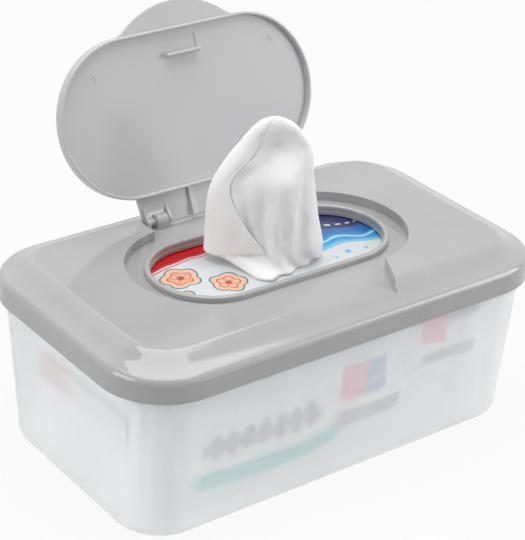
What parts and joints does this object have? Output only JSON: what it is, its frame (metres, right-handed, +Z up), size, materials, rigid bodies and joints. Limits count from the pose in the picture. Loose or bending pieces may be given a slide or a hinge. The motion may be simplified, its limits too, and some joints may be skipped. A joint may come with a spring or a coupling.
{
  "type": "wipes dispenser box",
  "caption": "Frosted tub with a lift-off lid and a hinged flip cover over a collared opening, holding a film refill pack with one wipe drawn up.",
  "frame": {"origin": "middle of the tub's flat base, on the table", "axes": "+X along the long side, +Y to the back where the flip cover's hinge is, +Z up"},
  "size_m": [0.2, 0.1337, 0.1574],
  "materials": {
    "frosted_tub": "frosted translucent polypropylene",
    "grey_lid": "gloss",
    "grey_cover": "satin gloss",
    "pack_film": "printed film",
    "nonwoven": "soft nonwoven"
  },
  "bodies": {
    "tub": {"tub_shell": "frosted_tub", "refill_film": "pack_film", "film_end_seals": "pack_film", "wipe_stack": "nonwoven", "leading_wipe": "nonwoven"},
    "lid": {"lid_frame": "grey_lid", "opening_collar": "grey_lid", "hinge_lugs": "grey_lid"},
    "cover": {"cover_panel": "grey_cover", "cover_rim": "grey_cover", "cover_latch": "grey_cover", "hinge_arm": "grey_cover", "hinge_pins": "grey_cover"}
  },
  "joints": [
    {"name": "lid_lift", "type": "slide", "parent": "tub", "child": "lid", "axis": [0, 0, 1], "range_m": [0, 0.075]},
    {"name": "cover_hinge", "type": "hinge", "parent": "lid", "child": "cover", "pos_m": [0, 0.0434, 0.0769], "axis": [1, 0, 0], "range_deg": [0, 109.5], "deforming": ["leading_wipe"]}
  ]
}
